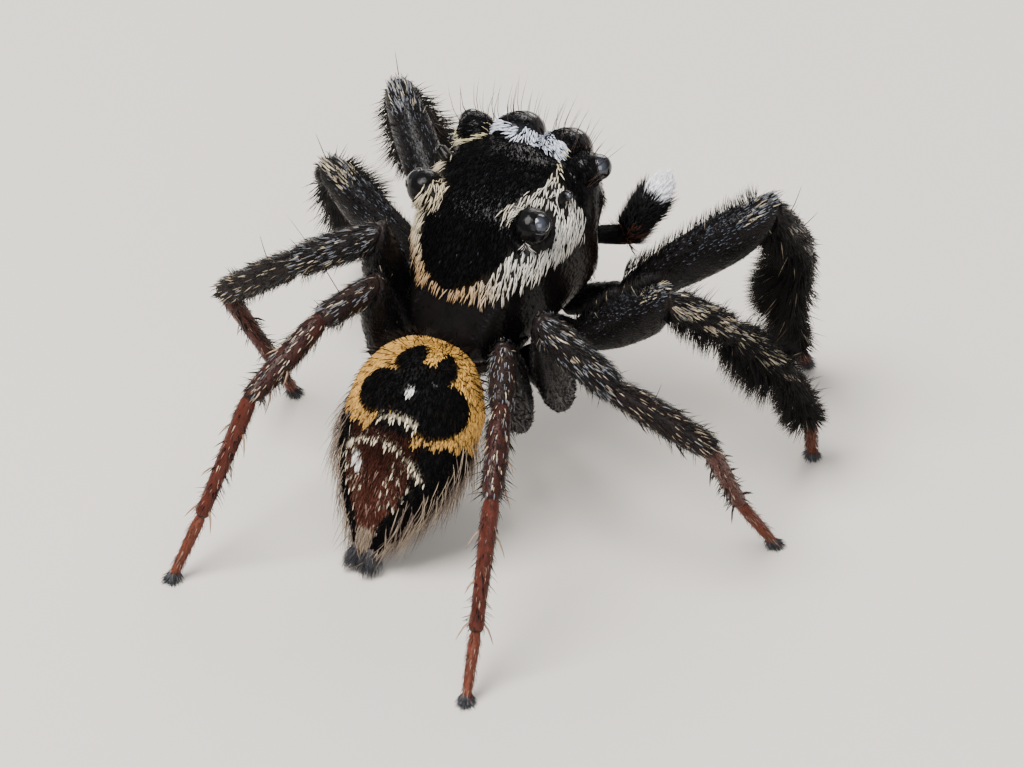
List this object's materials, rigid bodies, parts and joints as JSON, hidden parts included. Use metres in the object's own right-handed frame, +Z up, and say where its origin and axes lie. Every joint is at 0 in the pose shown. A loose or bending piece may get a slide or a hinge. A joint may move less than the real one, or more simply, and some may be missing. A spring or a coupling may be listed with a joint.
{
  "type": "jumping spider figure",
  "caption": "Life-size still model of a male jumping spider standing with its nose up and its abdomen tip on the floor.",
  "frame": {"origin": "middle of the animal's outline on the floor, at floor level", "axes": "+Z up from the floor, -Y the way the spider faces, +X towards its left side"},
  "size_m": [0.006, 0.0068, 0.0035],
  "materials": {
    "scaled_carapace": "velvet black with a ring of white and cream scales, glossy black sides",
    "scaled_abdomen": "velvet black with a golden ring, white scale rows and a red-brown middle",
    "eye_lens": "clear black lens, mirror smooth",
    "glossy_shell": "polished dark brown shell",
    "dark_underside": "dull dark brown",
    "grey_hair": "short grey hair",
    "black_femur": "deep black with blue-grey scales and short bristles",
    "palp_hair": "black hair with a white brush on the tips",
    "dark_leg": "black-brown with blue-grey and cream scales lying along the leg",
    "red_brown_leg": "red-brown shell with fine pale hair and dark spines"
  },
  "bodies": {
    "root": {"carapace": "scaled_carapace", "sternum": "dark_underside", "chelicera_right": "glossy_shell", "chelicera_left": "glossy_shell", "eye_front_middle_right": "eye_lens", "eye_front_middle_left": "eye_lens", "eye_front_side_right": "eye_lens", "eye_front_side_left": "eye_lens", "eye_small_right": "eye_lens", "eye_small_left": "eye_lens", "eye_rear_right": "eye_lens", "eye_rear_left": "eye_lens", "pedicel": "dark_underside", "abdomen": "scaled_abdomen", "spinnerets": "grey_hair", "palp_right_stalk": "palp_hair", "palp_right_tip": "palp_hair", "palp_left_stalk": "palp_hair", "palp_left_tip": "palp_hair", "leg_right_1_femur": "black_femur", "leg_right_1_patella": "dark_leg", "leg_right_1_tibia": "dark_leg", "leg_right_1_metatarsus": "red_brown_leg", "leg_right_1_tarsus": "red_brown_leg", "leg_right_2_femur": "black_femur", "leg_right_2_patella": "dark_leg", "leg_right_2_tibia": "dark_leg", "leg_right_2_metatarsus": "red_brown_leg", "leg_right_2_tarsus": "red_brown_leg", "leg_right_3_femur": "black_femur", "leg_right_3_patella": "dark_leg", "leg_right_3_tibia": "dark_leg", "leg_right_3_metatarsus": "red_brown_leg", "leg_right_3_tarsus": "red_brown_leg", "leg_right_4_femur": "black_femur", "leg_right_4_patella": "dark_leg", "leg_right_4_tibia": "dark_leg", "leg_right_4_metatarsus": "red_brown_leg", "leg_right_4_tarsus": "red_brown_leg", "leg_left_1_femur": "black_femur", "leg_left_1_patella": "dark_leg", "leg_left_1_tibia": "dark_leg", "leg_left_1_metatarsus": "red_brown_leg", "leg_left_1_tarsus": "red_brown_leg", "leg_left_2_femur": "black_femur", "leg_left_2_patella": "dark_leg", "leg_left_2_tibia": "dark_leg", "leg_left_2_metatarsus": "red_brown_leg", "leg_left_2_tarsus": "red_brown_leg", "leg_left_3_femur": "black_femur", "leg_left_3_patella": "dark_leg", "leg_left_3_tibia": "dark_leg", "leg_left_3_metatarsus": "red_brown_leg", "leg_left_3_tarsus": "red_brown_leg", "leg_left_4_femur": "black_femur", "leg_left_4_patella": "dark_leg", "leg_left_4_tibia": "dark_leg", "leg_left_4_metatarsus": "red_brown_leg", "leg_left_4_tarsus": "red_brown_leg"}
  },
  "joints": []
}
